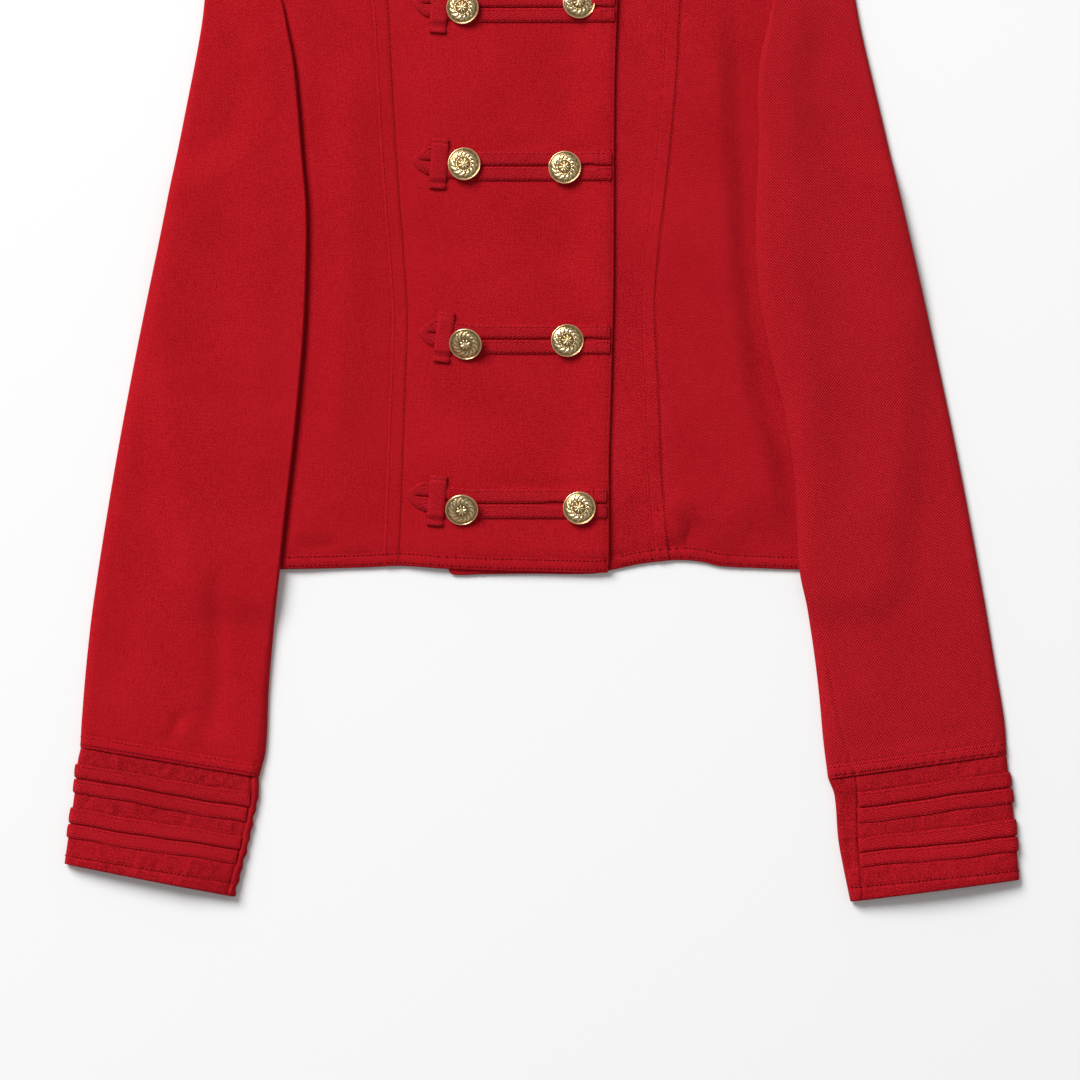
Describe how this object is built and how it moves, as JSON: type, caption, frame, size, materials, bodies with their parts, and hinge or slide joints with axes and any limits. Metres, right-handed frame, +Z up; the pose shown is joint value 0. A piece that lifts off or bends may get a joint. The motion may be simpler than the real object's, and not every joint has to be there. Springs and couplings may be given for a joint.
{
  "type": "military style jacket",
  "caption": "Short double-breasted jacket laid flat face up: stand collar, overlapping fronts with pointed straps and domed buttons, long sleeves with taped cuffs.",
  "frame": {"origin": "on the surface the jacket lies on, under the middle of its box", "axes": "+Z up from the surface through the fronts, +Y from the hem to the neck, +X from the wearer's right to the wearer's left"},
  "size_m": [0.5842, 0.6892, 0.0151],
  "materials": {
    "red_twill": "matt wool twill with a fine diagonal rib",
    "red_tape": "matt woven twill tape",
    "brass": "semi-gloss gold-coloured metal with a low relief"
  },
  "bodies": {
    "root": {"back": "red_twill", "right_front_side": "red_twill", "left_front_side": "red_twill", "right_front_centre": "red_twill", "left_front_centre": "red_twill", "stand_collar": "red_twill", "right_sleeve_upper": "red_twill", "right_sleeve_under": "red_twill", "left_sleeve_upper": "red_twill", "left_sleeve_under": "red_twill", "right_cuff_upper": "red_twill", "right_cuff_under": "red_twill", "left_cuff_upper": "red_twill", "left_cuff_under": "red_twill", "right_cuff_tape_1": "red_tape", "right_cuff_tape_2": "red_tape", "right_cuff_tape_3": "red_tape", "right_cuff_tape_4": "red_tape", "left_cuff_tape_1": "red_tape", "left_cuff_tape_2": "red_tape", "left_cuff_tape_3": "red_tape", "left_cuff_tape_4": "red_tape", "closure_strap_1": "red_tape", "closure_strap_2": "red_tape", "closure_strap_3": "red_tape", "closure_strap_4": "red_tape", "closure_keeper_1": "red_tape", "closure_keeper_2": "red_tape", "closure_keeper_3": "red_tape", "closure_keeper_4": "red_tape", "button_right_1": "brass", "button_right_2": "brass", "button_right_3": "brass", "button_right_4": "brass", "button_left_1": "brass", "button_left_2": "brass", "button_left_3": "brass", "button_left_4": "brass"}
  },
  "joints": []
}
